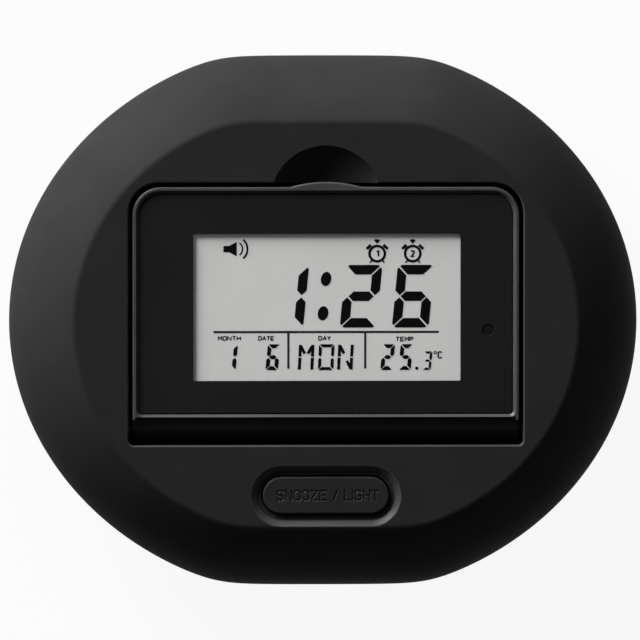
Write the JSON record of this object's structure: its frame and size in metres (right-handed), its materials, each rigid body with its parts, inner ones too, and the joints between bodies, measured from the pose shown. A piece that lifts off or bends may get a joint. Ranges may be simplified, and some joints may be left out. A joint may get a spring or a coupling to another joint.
{
  "type": "vibrating alarm clock",
  "caption": "Black pebble-shaped under-pillow alarm clock with a flip-up display in a well, a thumb notch, a snooze button and an eccentric vibration motor.",
  "frame": {"origin": "centre of the footprint, on the surface that the rubber feet stand on", "axes": "+Z out of the display face, +Y towards the thumb notch, +X to the right of the display"},
  "size_m": [0.112, 0.0944, 0.0332],
  "materials": {
    "shell_black": "satin, fine texture",
    "frame_black": "satin",
    "faceplate": "polished",
    "window": "clear",
    "lcd": "grey liquid crystal cell",
    "backlight": "diffusing",
    "rubber": "matte",
    "steel": "plated",
    "board": "solder mask",
    "chip": "moulded",
    "switch": "moulded",
    "cell": "sleeved",
    "end_cap": "moulded",
    "brass": "bare",
    "zebra": "matte",
    "sensor": "dark lens",
    "button": "satin",
    "key": "soft touch",
    "armature": "laminated, wound",
    "weight": "sintered"
  },
  "bodies": {
    "base": {"top_shell": "shell_black", "bottom_shell": "shell_black", "rubber_feet": "rubber", "housing_screws": "steel", "main_board": "board", "board_screws": "steel", "clock_chip": "chip", "tact_switches": "switch", "mode_switch_body": "steel", "battery_cells": "cell", "battery_contacts": "steel", "motor_can": "steel", "motor_end_cap": "end_cap", "motor_clamp": "steel", "clamp_screws": "steel", "buzzer_cup": "chip", "buzzer_disc": "brass"},
    "display": {"display_frame": "frame_black", "display_back": "frame_black", "display_screws": "steel", "display_faceplate": "faceplate", "display_window": "window", "lcd_glass": "lcd", "lcd_backlight": "backlight", "zebra_strips": "zebra", "lcd_board": "board", "light_sensor": "sensor", "hinge_pins": "steel"},
    "snooze": {"snooze_button": "button"},
    "time": {"time_key": "key"},
    "alarm_1": {"alarm_1_key": "key"},
    "alarm_2": {"alarm_2_key": "key"},
    "up": {"up_key": "key"},
    "down": {"down_key": "key"},
    "mode": {"mode_switch_knob": "key"},
    "rotor": {"motor_shaft": "steel", "motor_armature": "armature", "eccentric_weight": "weight"},
    "door": {"battery_door": "shell_black"}
  },
  "joints": [
    {"name": "display_tilt", "type": "hinge", "parent": "base", "child": "display", "pos_m": [0, -0.0186, 0.0297], "axis": [1, 0, 0], "range_deg": [0, 70]},
    {"name": "snooze_press", "type": "slide", "parent": "base", "child": "snooze", "axis": [0, 0, -1], "range_m": [0, 0.0008], "stiffness_N_per_m": 800},
    {"name": "time_press", "type": "slide", "parent": "base", "child": "time", "axis": [0, 0, -1], "range_m": [0, 0.0005], "stiffness_N_per_m": 400},
    {"name": "alarm_1_press", "type": "slide", "parent": "base", "child": "alarm_1", "axis": [0, 0, -1], "range_m": [0, 0.0005], "stiffness_N_per_m": 400},
    {"name": "alarm_2_press", "type": "slide", "parent": "base", "child": "alarm_2", "axis": [0, 0, -1], "range_m": [0, 0.0005], "stiffness_N_per_m": 400},
    {"name": "down_press", "type": "slide", "parent": "base", "child": "down", "axis": [0, 0, -1], "range_m": [0, 0.0005], "stiffness_N_per_m": 400},
    {"name": "up_press", "type": "slide", "parent": "base", "child": "up", "axis": [0, 0, -1], "range_m": [0, 0.0005], "stiffness_N_per_m": 400},
    {"name": "mode_slide", "type": "slide", "parent": "base", "child": "mode", "axis": [1, 0, 0], "range_m": [-0.002, 0.002]},
    {"name": "rotor_spin", "type": "hinge", "parent": "base", "child": "rotor", "pos_m": [0, 0.034, 0.014], "axis": [1, 0, 0], "continuous": true},
    {"name": "battery_door_open", "type": "hinge", "parent": "base", "child": "door", "pos_m": [0, 0.01195, 0.001], "axis": [1, 0, 0], "range_deg": [0, 60]}
  ]
}
